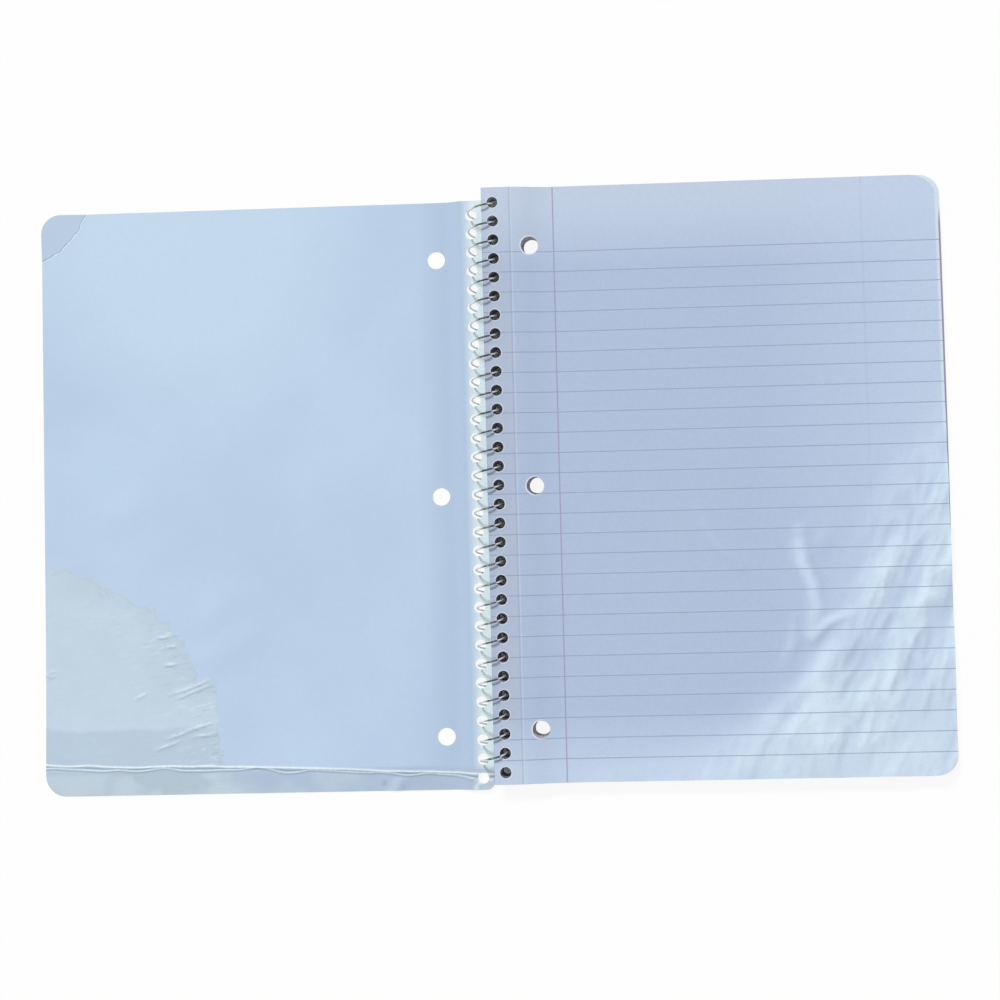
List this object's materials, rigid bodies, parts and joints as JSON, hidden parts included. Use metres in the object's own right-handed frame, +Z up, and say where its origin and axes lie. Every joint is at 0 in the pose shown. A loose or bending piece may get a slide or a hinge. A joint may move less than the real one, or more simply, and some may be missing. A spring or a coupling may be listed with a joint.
{
  "type": "open spiral notebook",
  "caption": "Ruled paper notebook bound by a single wire coil, lying open with its front cover turned back flat.",
  "frame": {"origin": "middle of the open notebook, on the surface that it lies on", "axes": "+X from the front cover towards the pages, +Y towards the head of the pages, +Z up"},
  "size_m": [0.4082, 0.2706, 0.0132],
  "materials": {
    "ruled_paper": "uncoated writing paper",
    "cover_card": "plain inside of heavy cover stock, stained",
    "back_board": "grey board",
    "coil_wire": "dull drawn wire"
  },
  "bodies": {
    "pages": {"page_block": "ruled_paper"},
    "coil": {"spiral_wire": "coil_wire"},
    "front": {"front_cover": "cover_card"},
    "back": {"back_cover": "back_board"}
  },
  "joints": [
    {"name": "front_cover_hinge", "type": "hinge", "parent": "pages", "child": "front", "pos_m": [-0.00075, 0, 0.0066], "axis": [0, 1, 0], "range_deg": [0, 180.6]},
    {"name": "coil_roll", "type": "hinge", "parent": "pages", "child": "coil", "pos_m": [-0.00075, 0, 0.0066], "axis": [0, 1, 0], "range_deg": [0, 60.2]},
    {"name": "back_cover_hinge", "type": "hinge", "parent": "pages", "child": "back", "pos_m": [-0.00075, 0, 0.0066], "axis": [0, 1, 0], "range_deg": [0, 20]}
  ],
  "couplings": [
    {"joint": "coil_roll", "follows": "front_cover_hinge", "ratio": 0.33333}
  ]
}
